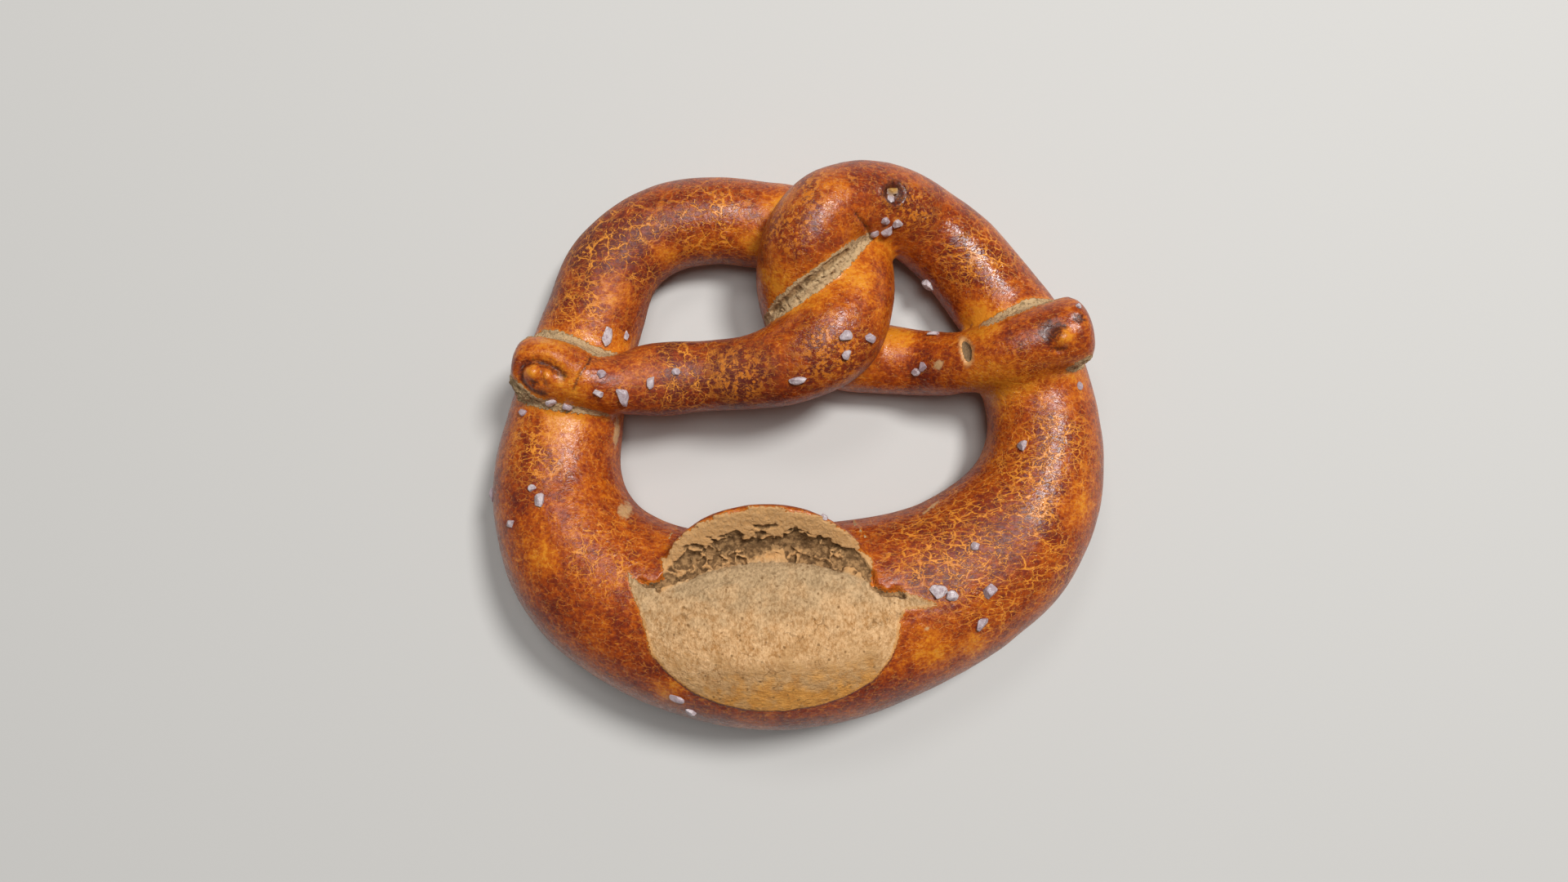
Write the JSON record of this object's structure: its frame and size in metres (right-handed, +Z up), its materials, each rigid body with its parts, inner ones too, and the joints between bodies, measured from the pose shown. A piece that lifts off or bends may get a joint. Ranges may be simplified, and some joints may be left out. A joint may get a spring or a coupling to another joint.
{
  "type": "soft pretzel",
  "caption": "Soft baked pretzel with a thick belly burst open on top, thin arms twisted round each other, their ends pressed onto the sides, and coarse salt on a glossy crust.",
  "frame": {"origin": "under the middle of the pretzel, on the surface it rests on", "axes": "+Z up, the side with the burst crust; -Y towards the thick belly, +Y towards the twist; +X to the right as seen from above with the belly nearest"},
  "size_m": [0.1541, 0.1406, 0.0409],
  "materials": {
    "crust": "baked lye crust, satin gloss",
    "salt": "coarse rock salt, cloudy"
  },
  "bodies": {
    "root": {"pretzel": "crust"}
  },
  "joints": []
}
